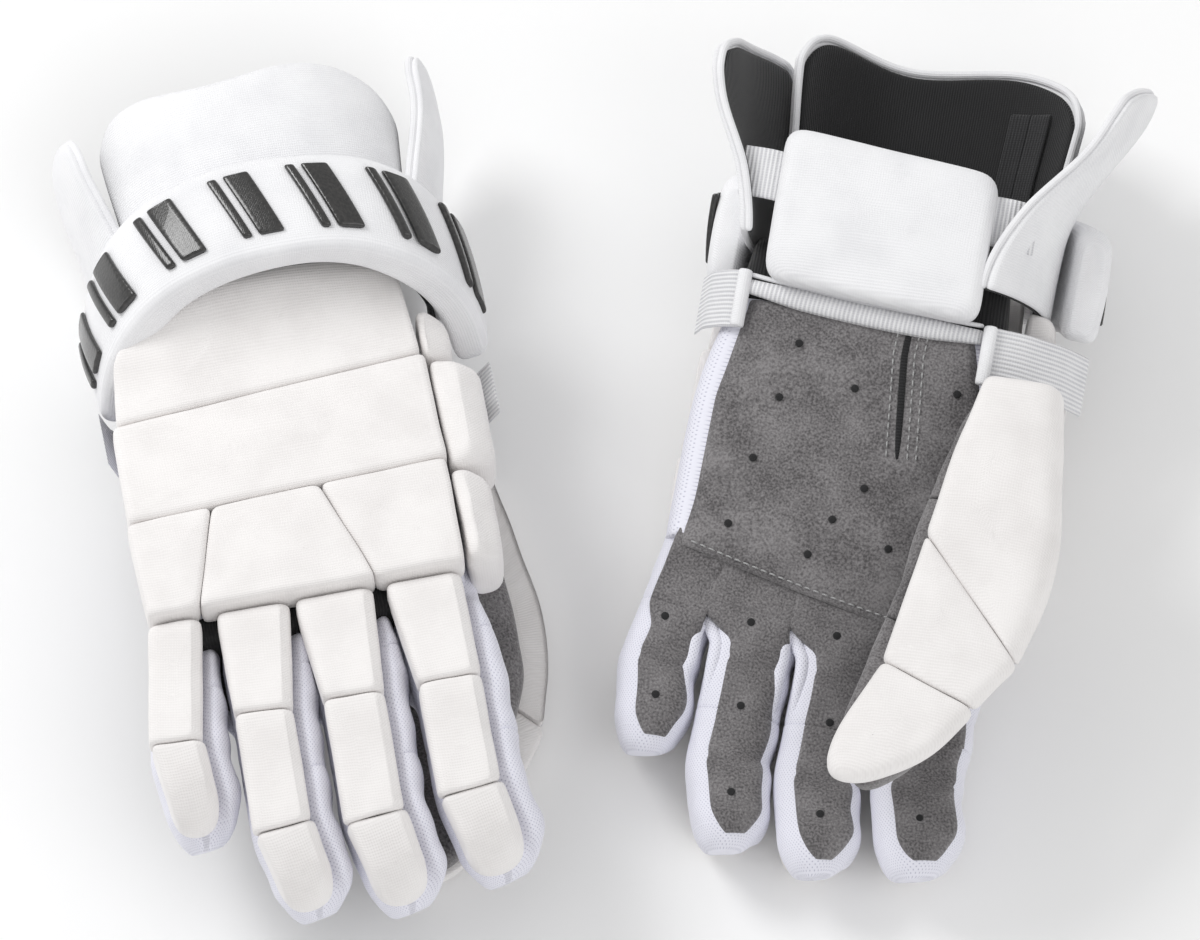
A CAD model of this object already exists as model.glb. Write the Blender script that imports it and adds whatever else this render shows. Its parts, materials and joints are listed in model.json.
"""A pair of padded team gloves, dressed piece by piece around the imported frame.

Each glove is built in its own frame, in millimetres: +X is the thumb side, -Y runs to the fingertips, +Z is
the back of the hand, the palm's face is z = 0 and the knuckle line is y = 0. The left glove is the mirror.
"""

import json
import logging
import math
from collections.abc import Callable, Sequence
from dataclasses import dataclass, field
from enum import Enum

import bmesh
import bpy
import numpy as np
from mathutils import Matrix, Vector, noise

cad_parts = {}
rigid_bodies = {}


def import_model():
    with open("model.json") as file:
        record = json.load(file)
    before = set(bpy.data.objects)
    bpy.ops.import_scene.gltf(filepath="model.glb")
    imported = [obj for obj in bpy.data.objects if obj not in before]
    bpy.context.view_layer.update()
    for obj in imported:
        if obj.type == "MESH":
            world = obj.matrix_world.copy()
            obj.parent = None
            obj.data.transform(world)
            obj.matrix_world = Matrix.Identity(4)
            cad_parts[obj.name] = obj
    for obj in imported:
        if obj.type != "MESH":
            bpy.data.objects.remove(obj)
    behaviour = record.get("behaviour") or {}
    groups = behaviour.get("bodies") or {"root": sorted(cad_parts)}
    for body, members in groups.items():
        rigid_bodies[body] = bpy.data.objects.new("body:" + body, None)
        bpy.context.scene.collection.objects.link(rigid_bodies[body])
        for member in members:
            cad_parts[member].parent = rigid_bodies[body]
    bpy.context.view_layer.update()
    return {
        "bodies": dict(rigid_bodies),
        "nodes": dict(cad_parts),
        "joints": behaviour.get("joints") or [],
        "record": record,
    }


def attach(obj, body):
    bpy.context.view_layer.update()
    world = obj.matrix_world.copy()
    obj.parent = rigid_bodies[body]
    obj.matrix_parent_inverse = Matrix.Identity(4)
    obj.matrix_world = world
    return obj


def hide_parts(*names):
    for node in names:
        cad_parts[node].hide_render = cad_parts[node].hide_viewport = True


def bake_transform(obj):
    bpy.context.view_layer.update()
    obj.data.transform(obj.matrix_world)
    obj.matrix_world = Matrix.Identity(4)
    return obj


LOG = logging.getLogger("gloves")
MILLIMETRE = 0.001
# Padding lies flat where it rests on the floor, this far above it
FLOOR_CLEARANCE = 0.0003


class Side(Enum):
    """The two gloves of the pair."""

    RIGHT = "right"
    LEFT = "left"


class Slot(Enum):
    """The record's finishes, by the names that the record gives them."""

    PAD = "pad_knit"
    CUFF = "cuff_knit"
    MESH = "sleeve_mesh"
    SUEDE = "palm_suede"
    LINING = "black_lining"
    WEBBING = "white_webbing"
    GLOSS = "black_gloss"


# ---------------------------------------------------------------- numbers


def smooth(value: np.ndarray | float) -> np.ndarray | float:
    """Smooth step from 0 to 1 over the unit range."""
    t = np.clip(value, 0.0, 1.0)
    return t * t * (3 - 2 * t)


def shift(x: float, y: float, z: float) -> np.ndarray:
    """Matrix of a translation."""
    matrix = np.eye(4)
    matrix[:3, 3] = (x, y, z)
    return matrix


def turn_x(degrees: float) -> np.ndarray:
    """Matrix of a turn about X."""
    c, s = math.cos(math.radians(degrees)), math.sin(math.radians(degrees))
    return np.array([[1, 0, 0, 0], [0, c, -s, 0], [0, s, c, 0], [0, 0, 0, 1]], float)


def turn_z(degrees: float) -> np.ndarray:
    """Matrix of a turn about Z."""
    c, s = math.cos(math.radians(degrees)), math.sin(math.radians(degrees))
    return np.array([[c, -s, 0, 0], [s, c, 0, 0], [0, 0, 1, 0], [0, 0, 0, 1]], float)


def carried(matrix: np.ndarray, points: np.ndarray) -> np.ndarray:
    """Points moved by a matrix.

    Args:
        matrix: A 3x4 or 4x4 matrix.
        points: Points in the last axis, of any shape before it.

    Returns:
        The moved points, in the same shape.
    """
    return points @ matrix[:3, :3].T + matrix[:3, 3]


def roughened(points: np.ndarray, amount: float, scale: float, seed: float) -> np.ndarray:
    """Points moved a little by smooth noise, as cloth over foam is never quite true.

    Args:
        points: The points, in millimetres.
        amount: The most that a point moves.
        scale: Waves of noise per millimetre.
        seed: Offset that gives each piece its own pattern.

    Returns:
        The moved points.
    """
    moved = np.array(points, float)
    flat = moved.reshape(-1, 3)
    for i, p in enumerate(flat):
        flat[i] += amount * np.array(noise.noise_vector(Vector(p * scale) + Vector((seed, 2 * seed, 0))))
    return flat.reshape(moved.shape)


# ---------------------------------------------------------------- finishes


class Nodes:
    """Builder for one procedural material whose pattern follows the piece's weave coordinates."""

    def __init__(self, name: str, roughness: float, sheen: float = 0.0, coat: float = 0.0) -> None:
        """Start a material.

        Args:
            name: The material's name.
            roughness: Roughness of the whole surface.
            sheen: Strength of the soft edge glow of cloth.
            coat: Strength of a clear gloss over the surface.
        """
        self.material = bpy.data.materials.new(name)
        self.material.use_nodes = True
        self.tree = self.material.node_tree
        self.shader = self.tree.nodes["Principled BSDF"]
        self.shader.inputs["Roughness"].default_value = roughness
        self.shader.inputs["Sheen Weight"].default_value = sheen
        self.shader.inputs["Sheen Roughness"].default_value = 0.5
        self.shader.inputs["Coat Weight"].default_value = coat
        self.shader.inputs["Specular IOR Level"].default_value = 0.3
        attribute = self.tree.nodes.new("ShaderNodeAttribute")
        attribute.attribute_name = "weave"
        self.weave = attribute.outputs["Vector"]
        split = self.tree.nodes.new("ShaderNodeSeparateXYZ")
        self.tree.links.new(self.weave, split.inputs[0])
        self.across, self.along, self.depth = split.outputs

    def math(self, operation: str, a: object, b: object = 0.0) -> object:
        """Output of a Math node.

        Args:
            operation: The node's operation.
            a: First input, a socket or a number.
            b: Second input, a socket or a number.

        Returns:
            The node's output socket.
        """
        node = self.tree.nodes.new("ShaderNodeMath")
        node.operation = operation
        for value, socket in zip((a, b), node.inputs, strict=False):
            if isinstance(value, (int, float)):
                socket.default_value = value
            else:
                self.tree.links.new(value, socket)
        return node.outputs[0]

    def wave(self, value: object, period: float) -> object:
        """Sine of a coordinate, from 0 to 1, that repeats each period in millimetres."""
        turns = self.math("MULTIPLY", value, 2 * math.pi / period)
        return self.half(self.math("SINE", turns))

    def half(self, value: object) -> object:
        """A value from -1..1 brought to 0..1."""
        return self.math("ADD", self.math("MULTIPLY", value, 0.5), 0.5)

    def noise(self, scale: float, detail: float = 2.0) -> object:
        """Noise over the weave coordinates, with a scale per millimetre."""
        node = self.tree.nodes.new("ShaderNodeTexNoise")
        node.inputs["Scale"].default_value = scale
        node.inputs["Detail"].default_value = detail
        self.tree.links.new(self.weave, node.inputs["Vector"])
        return node.outputs["Fac"]

    def paint(self, factor: object, low: Sequence[float], high: Sequence[float], ends: tuple[float, float]) -> None:
        """Colour the surface between two colours.

        Args:
            factor: Socket that picks the colour.
            low: Colour where the factor is at the first end.
            high: Colour where the factor is at the second end.
            ends: The two ends of the factor.
        """
        ramp = self.tree.nodes.new("ShaderNodeValToRGB")
        ramp.color_ramp.elements[0].position = ends[0]
        ramp.color_ramp.elements[1].position = ends[1]
        ramp.color_ramp.elements[0].color = (*low, 1)
        ramp.color_ramp.elements[1].color = (*high, 1)
        self.tree.links.new(factor, ramp.inputs[0])
        self.tree.links.new(ramp.outputs[0], self.shader.inputs["Base Color"])

    def bump(self, height: object, strength: float, depth: float) -> None:
        """Raise the surface by a height.

        Args:
            height: Socket of the height, 0 to 1.
            strength: Strength of the bump.
            depth: Full height in millimetres.
        """
        node = self.tree.nodes.new("ShaderNodeBump")
        node.inputs["Strength"].default_value = strength
        node.inputs["Distance"].default_value = depth * MILLIMETRE
        self.tree.links.new(height, node.inputs["Height"])
        self.tree.links.new(node.outputs[0], self.shader.inputs["Normal"])


@dataclass(frozen=True)
class Knit:
    """Fine knit over foam: ribs across the piece and a softer stitch along them."""

    name: str
    shade: tuple[float, float, float]
    hollow: tuple[float, float, float]
    rib: float = 1.15
    stitch: float = 1.0
    depth: float = 0.22

    def material(self) -> bpy.types.Material:
        """Build the material."""
        nodes = Nodes(self.name, roughness=0.82, sheen=0.25)
        run = nodes.math("ADD", nodes.along, nodes.depth)
        ribs = nodes.wave(run, self.rib)
        stitches = nodes.wave(nodes.across, self.stitch)
        height = nodes.math("ADD", nodes.math("MULTIPLY", ribs, 0.65), nodes.math("MULTIPLY", stitches, 0.35))
        cloud = nodes.noise(0.045, 4)
        mixed = nodes.math("ADD", nodes.math("MULTIPLY", cloud, 0.8), nodes.math("MULTIPLY", height, 0.2))
        nodes.paint(mixed, self.hollow, self.shade, (0.3, 0.6))
        fuzz = nodes.math("MULTIPLY", nodes.noise(2.2, 2), 0.5)
        nodes.bump(nodes.math("ADD", height, fuzz), 0.5, self.depth)
        return nodes.material


@dataclass(frozen=True)
class Netting:
    """White sleeve mesh with rows of small holes and a cool tint."""

    name: str
    shade: tuple[float, float, float]
    hole: tuple[float, float, float]
    pitch: float = 1.7

    def material(self) -> bpy.types.Material:
        """Build the material."""
        nodes = Nodes(self.name, roughness=0.6, sheen=0.2)
        row = nodes.wave(nodes.math("ADD", nodes.along, nodes.across), self.pitch)
        column = nodes.wave(nodes.math("SUBTRACT", nodes.along, nodes.across), self.pitch)
        cloth = nodes.math("SUBTRACT", 1.0, nodes.math("POWER", nodes.math("MULTIPLY", row, column), 2.0))
        nodes.paint(cloth, self.hole, self.shade, (0.1, 0.75))
        nodes.bump(cloth, 0.6, 0.3)
        return nodes.material


@dataclass(frozen=True)
class Suede:
    """Brushed synthetic suede, mottled at several scales."""

    name: str
    dark: tuple[float, float, float]
    light: tuple[float, float, float]

    def material(self) -> bpy.types.Material:
        """Build the material."""
        nodes = Nodes(self.name, roughness=0.95, sheen=0.35)
        nodes.shader.inputs["Specular IOR Level"].default_value = 0.1
        grain = nodes.noise(1.1, 4)
        patch = nodes.noise(0.05, 5)
        nodes.paint(
            nodes.math("ADD", nodes.math("MULTIPLY", grain, 0.62), nodes.math("MULTIPLY", patch, 0.38)),
            self.dark, self.light, (0.38, 0.62),
        )
        nodes.bump(grain, 0.6, 0.25)
        return nodes.material


@dataclass(frozen=True)
class Ribbed:
    """Woven tape or lining with ribs along one direction."""

    name: str
    shade: tuple[float, float, float]
    hollow: tuple[float, float, float]
    rib: float
    roughness: float = 0.7
    depth: float = 0.35

    def material(self) -> bpy.types.Material:
        """Build the material."""
        nodes = Nodes(self.name, roughness=self.roughness, sheen=0.15)
        ribs = nodes.wave(nodes.across, self.rib)
        weft = nodes.wave(nodes.along, self.rib * 0.6)
        height = nodes.math("ADD", nodes.math("MULTIPLY", ribs, 0.8), nodes.math("MULTIPLY", weft, 0.2))
        cloud = nodes.math("MULTIPLY", nodes.noise(0.07, 3), 0.35)
        nodes.paint(nodes.math("ADD", nodes.math("MULTIPLY", height, 0.65), cloud), self.hollow, self.shade, (0.1, 0.7))
        nodes.bump(height, 0.7, self.depth)
        return nodes.material


@dataclass(frozen=True)
class Gloss:
    """Raised black rubber print with a slightly rippled gloss."""

    name: str
    shade: tuple[float, float, float]
    worn: tuple[float, float, float]

    def material(self) -> bpy.types.Material:
        """Build the material."""
        nodes = Nodes(self.name, roughness=0.28, coat=0.5)
        nodes.shader.inputs["Specular IOR Level"].default_value = 0.6
        ripple = nodes.noise(0.9, 3)
        nodes.paint(ripple, self.shade, self.worn, (0.35, 0.8))
        weave = nodes.math("MULTIPLY", nodes.wave(nodes.across, 0.9), 0.3)
        nodes.bump(nodes.math("ADD", ripple, weave), 0.35, 0.3)
        return nodes.material


@dataclass
class Wardrobe:
    """Every finish of the gloves, built once."""

    pad: Knit = Knit("warm_pad_knit", (0.88, 0.858, 0.848), (0.79, 0.765, 0.755))
    cuff: Knit = Knit("bright_cuff_knit", (0.88, 0.88, 0.895), (0.79, 0.79, 0.81), rib=1.0, stitch=1.0, depth=0.3)
    netting: Netting = Netting("sleeve_netting", (0.80, 0.80, 0.88), (0.50, 0.50, 0.60))
    suede: Suede = Suede("grey_suede", (0.085, 0.08, 0.082), (0.255, 0.245, 0.248))
    lining: Ribbed = Ribbed("black_lining_knit", (0.016, 0.016, 0.017), (0.005, 0.005, 0.006), rib=1.2)
    tape: Ribbed = Ribbed("white_ribbed_tape", (0.87, 0.87, 0.88), (0.55, 0.55, 0.58), rib=1.7, depth=0.5)
    black_tape: Ribbed = Ribbed("black_ribbed_tape", (0.03, 0.03, 0.032), (0.006, 0.006, 0.007), rib=1.6, depth=0.5)
    gloss: Gloss = Gloss("raised_black_print", (0.004, 0.004, 0.004), (0.03, 0.028, 0.026))
    thread: Ribbed = Ribbed("grey_thread", (0.48, 0.48, 0.48), (0.25, 0.25, 0.25), rib=0.5, depth=0.1)
    made: dict[str, bpy.types.Material] = field(default_factory=dict)

    def __getitem__(self, name: str) -> bpy.types.Material:
        """Material of the named finish, built when it is first asked for."""
        if name not in self.made:
            self.made[name] = getattr(self, name).material()
        return self.made[name]


# ---------------------------------------------------------------- surfaces


@dataclass
class Skin:
    """A closed surface in millimetres with its weave coordinates."""

    points: np.ndarray
    faces: list[tuple[int, ...]]
    weave: np.ndarray

    def plus(self, other: "Skin") -> "Skin":
        """This surface and another as one."""
        n = len(self.points)
        moved = [tuple(i + n for i in face) for face in other.faces]
        return Skin(
            np.concatenate([self.points, other.points]), self.faces + moved,
            np.concatenate([self.weave, other.weave]),
        )


def joined(skins: Sequence[Skin]) -> Skin:
    """Several surfaces as one."""
    total = skins[0]
    for skin in skins[1:]:
        total = total.plus(skin)
    return total


def loft(rings: np.ndarray, weave: np.ndarray, capped: bool = True) -> Skin:
    """Surface through closed rings of points.

    Args:
        rings: Points, ring by ring, each ring closed on itself.
        weave: Weave coordinates of the same points.
        capped: Whether both end rings are closed by a fan.

    Returns:
        The surface.
    """
    count, size = rings.shape[:2]
    faces = [
        (r * size + i, r * size + (i + 1) % size, (r + 1) * size + (i + 1) % size, (r + 1) * size + i)
        for r in range(count - 1)
        for i in range(size)
    ]
    for r in (0, count - 1) if capped else ():
        faces += [tuple(r * size + i for i in face) for face in zipped(rings[r])]
    return Skin(rings.reshape(-1, 3), faces, weave.reshape(-1, 3))


def zipped(ring: np.ndarray) -> list[tuple[int, ...]]:
    """Faces that close a ring by joining its two sides across its short way.

    Args:
        ring: Points of the ring.

    Returns:
        Faces as indices into the ring.
    """
    size = len(ring)
    half = size // 2
    near = np.arange(half)

    def width(start: int) -> float:
        return float(np.linalg.norm(ring[(start + near) % size] - ring[(start - 1 - near) % size], axis=1).sum())

    start = min(range(size), key=width)
    faces = []
    for i in range(half - 1):
        faces.append(tuple(int(v % size) for v in (start + i, start + i + 1, start - 2 - i, start - 1 - i)))
    if size % 2:
        faces.append(tuple(int(v % size) for v in (start + half - 1, start + half, start - half)))
    return faces


def slab(grid: np.ndarray, under: np.ndarray, weave: np.ndarray) -> Skin:
    """Closed sheet between an upper and a lower grid of points.

    Args:
        grid: Points of the outer face, rows by columns.
        under: Points of the inner face, rows by columns.
        weave: Weave coordinates of the outer face.

    Returns:
        The surface.
    """
    rows, columns = grid.shape[:2]
    index = np.arange(rows * columns).reshape(rows, columns)
    other = index + rows * columns
    faces = []
    for r in range(rows - 1):
        for c in range(columns - 1):
            faces.append((index[r, c], index[r, c + 1], index[r + 1, c + 1], index[r + 1, c]))
            faces.append((other[r, c], other[r + 1, c], other[r + 1, c + 1], other[r, c + 1]))
    rim = np.concatenate([index[0], index[1:, -1], index[-1, -2::-1], index[-2:0:-1, 0]])
    for a, b in zip(rim, np.roll(rim, -1), strict=True):
        faces.append((b, a, a + rows * columns, b + rows * columns))
    points = np.concatenate([grid.reshape(-1, 3), under.reshape(-1, 3)])
    return Skin(points, [tuple(int(i) for i in f) for f in faces], np.tile(weave.reshape(-1, 3), (2, 1)))


def tube(path: np.ndarray, radius: float | np.ndarray, sides: int = 8, flat: float = 1.0) -> Skin:
    """Round or flattened cord along a path.

    Args:
        path: Points of the centre line.
        radius: Radius, or a radius for each point.
        sides: Number of sides.
        flat: Height of the section as a share of its width.

    Returns:
        The surface.
    """
    radii = np.broadcast_to(np.asarray(radius, float), (len(path),))
    run = np.gradient(path, axis=0)
    run /= np.linalg.norm(run, axis=1, keepdims=True)
    up = np.array([0.0, 0.0, 1.0])
    side = np.cross(run, up)
    weak = np.linalg.norm(side, axis=1) < 0.2
    side[weak] = np.cross(run[weak], np.array([0.0, 1.0, 0.0]))
    side /= np.linalg.norm(side, axis=1, keepdims=True)
    top = np.cross(side, run)
    angle = np.linspace(0, 2 * math.pi, sides, endpoint=False)
    rings = path[:, None] + radii[:, None, None] * (
        np.cos(angle)[None, :, None] * side[:, None] + flat * np.sin(angle)[None, :, None] * top[:, None]
    )
    length = np.concatenate([[0], np.cumsum(np.linalg.norm(np.diff(path, axis=0), axis=1))])
    weave = np.zeros(rings.shape)
    weave[..., 0] = length[:, None]
    weave[..., 1] = angle[None] * radii[:, None]
    return loft(rings, weave)


def inset_corners(outline: np.ndarray, insets: Sequence[float]) -> np.ndarray:
    """Corners of a convex outline whose edges are moved inward.

    Args:
        outline: Corners, anticlockwise.
        insets: How far each edge moves in, the first being the edge after the first corner.

    Returns:
        The new corners.
    """
    after = np.roll(outline, -1, axis=0)
    run = (after - outline) / np.linalg.norm(after - outline, axis=1, keepdims=True)
    inward = np.stack([-run[:, 1], run[:, 0]], axis=1)
    start = outline + inward * np.asarray(insets, float)[:, None]
    corners = []
    for i in range(len(outline)):
        a, b = start[i - 1], start[i]
        da, db = run[i - 1], run[i]
        t = np.linalg.solve(np.stack([da, -db], axis=1), b - a)[0]
        corners.append(a + da * t)
    return np.array(corners)


def rounded(corners: np.ndarray, radii: Sequence[float], per_corner: int = 4, per_edge: int = 6) -> np.ndarray:
    """Outline with rounded corners, always with the same number of points.

    Args:
        corners: Corners of the outline.
        radii: Reach of the rounding at each corner.
        per_corner: Steps round each corner.
        per_edge: Points along each edge.

    Returns:
        Points of the outline.
    """
    before, after = np.roll(corners, 1, axis=0), np.roll(corners, -1, axis=0)
    to_before, to_after = before - corners, after - corners
    near, far = np.linalg.norm(to_before, axis=1), np.linalg.norm(to_after, axis=1)
    enter = corners + to_before * (np.minimum(radii, 0.45 * near) / near)[:, None]
    leave = corners + to_after * (np.minimum(radii, 0.45 * far) / far)[:, None]
    points = []
    for i, corner in enumerate(corners):
        for t in np.linspace(0, 1, per_corner + 1):
            points.append((1 - t) ** 2 * enter[i] + 2 * t * (1 - t) * corner + t * t * leave[i])
        goal = enter[(i + 1) % len(corners)]
        for t in np.linspace(0, 1, per_edge + 2)[1:-1]:
            points.append(leave[i] * (1 - t) + goal * t)
    return np.array(points)


@dataclass
class Block:
    """A foam pad under knit: an outline in plan with eased or chamfered upper edges and a slight crown."""

    low: float
    high: float
    eases: Sequence[float]
    radii: Sequence[float]
    crown: float = 0.7
    straight: Sequence[bool] = ()
    bulge: float = 0.5

    def insets(self, z: float) -> np.ndarray:
        """How far each edge stands in at a height."""
        result = []
        for i, ease in enumerate(self.eases):
            t = min(max((z - self.high + ease) / ease, 0.0), 1.0)
            chamfered = i < len(self.straight) and self.straight[i]
            result.append(ease * (t if chamfered else 1 - math.sqrt(max(0.0, 1 - t * t)) * 1.0))
        rise = (z - self.low) / (self.high - self.low)
        belly = self.bulge * math.sin(math.pi * min(max(rise, 0.0), 1.0))
        return np.array(result) - belly

    def skin(self, outline: Callable[[float], np.ndarray], tilt: Callable[[np.ndarray], np.ndarray] | None = None) -> Skin:
        """Build the pad.

        Args:
            outline: Gives the plan's corners at a height.
            tilt: Moves the finished points, or None.

        Returns:
            The surface.
        """
        deepest = max(self.eases)
        heights = [self.low, self.low + 1.2, (self.low + self.high - deepest) / 2]
        heights += [self.high - deepest * (1 - t) for t in (0, 0.25, 0.5, 0.7, 0.85, 0.95, 1)]
        rings = []
        for k, z in enumerate(heights):
            tuck = 1.2 if k == 0 else 0.0
            flat = rounded(inset_corners(outline(z), self.insets(z) + tuck), self.radii)
            rings.append(np.column_stack([flat, np.full(len(flat), z)]))
        top = rings[-1]
        centre = top.mean(0)
        for share in (0.9, 0.72, 0.5, 0.25):
            ring = centre + (top - centre) * share
            ring[:, 2] = self.high + self.crown * (1 - share**2)
            rings.append(ring)
        rings = np.array(rings)
        weave = rings.copy()
        if tilt is not None:
            rings = tilt(rings)
        return loft(rings, weave)


# ---------------------------------------------------------------- place of a glove


@dataclass
class Place:
    """Where one glove lies, found from four of its hinges in the frame."""

    side: Side
    matrix: np.ndarray
    wardrobe: Wardrobe

    # Hinges in the glove's own frame
    HINGES = {
        "cuff_tilt": (0, 97, 0),
        "index_knuckle": (45.7, 0, 17),
        "little_knuckle": (-50, 0, 17),
        "thumb_root": (69, 76, -12),
    }

    @classmethod
    def found(cls, frame: dict, side: Side, wardrobe: Wardrobe) -> "Place":
        """Find the glove in the frame.

        Args:
            side: Which glove.
            wardrobe: The finishes.

        Returns:
            The glove's place.
        """
        at = {j["name"]: j["pos_m"] for j in frame["joints"] if j.get("pos_m")}
        own = np.array([(*p, 1) for p in cls.HINGES.values()], float)
        row = np.array([at[f"{side.value}_{name}"] for name in cls.HINGES], float)
        return cls(side, np.linalg.solve(own, row).T, wardrobe)

    def world(self, point: Sequence[float]) -> tuple[float, ...]:
        """A point of the glove in the row frame, in metres."""
        return tuple(carried(self.matrix, np.asarray(point, float)))

    def name(self, part: str) -> str:
        """Name of one of this glove's pieces, bodies or nodes."""
        return f"{self.side.value}_{part}"

    def piece(self, part: str, skin: Skin, finish: str, slot: Slot, nodes: Sequence[str] = (), levels: int = 1) -> bpy.types.Object:
        """Make a Blender object from a surface.

        Args:
            part: The piece's name without its side.
            skin: The surface, in the glove's frame.
            finish: Name of the finish.
            slot: The record's slot.
            nodes: CAD nodes that the piece stands for, without their side.
            levels: Levels of subdivision.

        Returns:
            The object, not yet on a body.
        """
        part = f"{part}_cover" if part in nodes else part
        mesh = bpy.data.meshes.new(self.name(part))
        points = carried(self.matrix, skin.points)
        points[:, 2] = np.maximum(points[:, 2], FLOOR_CLEARANCE)
        mesh.from_pydata([tuple(p) for p in points], [], skin.faces)
        attribute = mesh.attributes.new("weave", "FLOAT_VECTOR", "POINT")
        attribute.data.foreach_set("vector", np.asarray(skin.weave, np.float32).ravel())
        build = bmesh.new()
        build.from_mesh(mesh)
        bmesh.ops.recalc_face_normals(build, faces=build.faces)
        build.to_mesh(mesh)
        build.free()
        mesh.shade_smooth()
        mesh.materials.append(self.wardrobe[finish])
        thing = bpy.data.objects.new(self.name(part), mesh)
        bpy.context.scene.collection.objects.link(thing)
        if levels:
            modifier = thing.modifiers.new("soft", "SUBSURF")
            modifier.levels = modifier.render_levels = levels
        if nodes:
            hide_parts(*[self.name(n) for n in nodes])
        LOG.info("%s: %d points", thing.name, len(skin.points))
        return thing

    def ride(self, thing: bpy.types.Object, body: str) -> None:
        """Fix a piece to one of this glove's bodies."""
        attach(thing, self.name(body))

    def bend(self, thing: bpy.types.Object, bodies: tuple[str, str], start: Sequence[float], end: Sequence[float]) -> None:
        """Bend a piece between two bodies, from a start point to an end point in the glove's frame."""
        self.name(bodies[0])
        self.name(bodies[1])
        self.world(start)
        self.world(end)
        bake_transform(thing)


# ---------------------------------------------------------------- back of the hand


@dataclass
class Backhand:
    """The foam pads on the back of the hand, with the thumb-side rolls."""

    place: Place
    floor: float = 35.0
    top: float = 51.0
    gap: float = 0.35
    rise: float = 11.0
    seam_at_middle: float = 44.0
    seam_slope: float = 0.04

    def seam(self, x: float) -> float:
        """Y of the seam behind the knuckle pads."""
        return self.seam_at_middle + self.seam_slope * x

    def outlines(self) -> dict[str, list[tuple[float, float]]]:
        """Corners of each pad, anticlockwise from its near little-side corner."""
        g, s = self.gap, self.seam
        return {
            "backhand_wrist_pad": [(-57, 85 + g), (62, 94 + g), (60, 138), (-37, 140), (-54, 112)],
            "backhand_wide_pad": [(-60, s(-60) + g), (64, s(64) + g), (63.5, 94 - g), (-59, 85 - g)],
            "knuckle_pad_little": [(-60, g), (-40 - g, g), (-28 - g, s(-28) - g), (-61, s(-61) - g)],
            "knuckle_pad_centre": [(-40 + g, g), (28 - g, g), (14 - g, s(14) - g), (-28 + g, s(-28) - g)],
            "knuckle_pad_index": [(28 + g, g), (62, g), (63.5, s(63.5) - g), (14 + g, s(14) - g)],
        }

    def build_pads(self) -> None:
        """Build the five pads over the hand."""
        for number, (name, corners) in enumerate(self.outlines().items()):
            outline = np.array(corners, float)
            block = Block(self.floor - 1, self.top, [2.6] * len(outline), [3.0] * len(outline), crown=0.9)
            skin = block.skin(lambda z, o=outline: o)
            skin.points = roughened(skin.points, 0.45, 0.07, number)
            if number == 0:
                middle = 1 - (skin.points[:, 0] / 60) ** 2
                skin.points[:, 2] += self.rise * middle * smooth((skin.points[:, 1] - 98) / 34)
            thing = self.place.piece(name, skin, "pad", Slot.PAD, [name])
            self.place.ride(thing, "hand")

    def build_rolls(self) -> None:
        """Build the three narrow rolls down the thumb side."""
        spans = [(64.5, 79, 2, 43), (65, 84, 44, 92), (64, 76, 93, 115)]
        for number, (x0, x1, y0, y1) in enumerate(spans):
            outline = np.array([(x0, y0), (x1 - 1, y0 + 2), (x1, y1 - 2), (x0, y1)], float)
            block = Block(15, self.top - 3, [5, 9, 5, 2.5], [4, 7, 7, 3], crown=0.5, straight=(False, True, False, False))
            skin = block.skin(lambda z, o=outline: o)
            skin.points = roughened(skin.points, 0.8, 0.09, 20 + number)
            nodes = ["side_roll_pads"] if number == 0 else []
            thing = self.place.piece(f"side_roll_{number + 1}", skin, "pad", Slot.PAD, nodes)
            self.place.ride(thing, "hand")


# ---------------------------------------------------------------- palm and hand shell


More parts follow.
